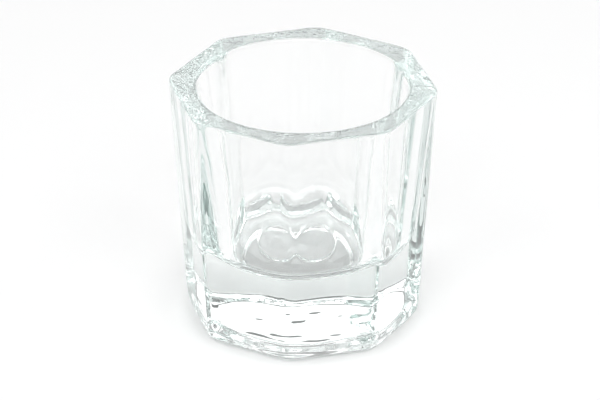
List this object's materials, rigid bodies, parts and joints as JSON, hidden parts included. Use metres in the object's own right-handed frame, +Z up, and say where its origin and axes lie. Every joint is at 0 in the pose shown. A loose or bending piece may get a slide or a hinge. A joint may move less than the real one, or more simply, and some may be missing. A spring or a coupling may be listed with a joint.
{
  "type": "glass dappen dish",
  "caption": "Small faceted clear glass cup with a round tapering well, thick solid base and flat rim, for holding nail acrylic liquid or powder.",
  "frame": {"origin": "centre of the foot, on the surface that the dish stands on", "axes": "+Z up along the axis of the well, out of the mouth; +X and +Y point at the middles of two of the flat sides"},
  "size_m": [0.0322, 0.0322, 0.0323],
  "materials": {
    "clear_glass": "clear pressed soda-lime glass with a very faint green-grey body tint, fire-polished glossy surface, slight waviness and softly rounded edges"
  },
  "bodies": {
    "root": {"glass_dish": "clear_glass"}
  },
  "joints": []
}
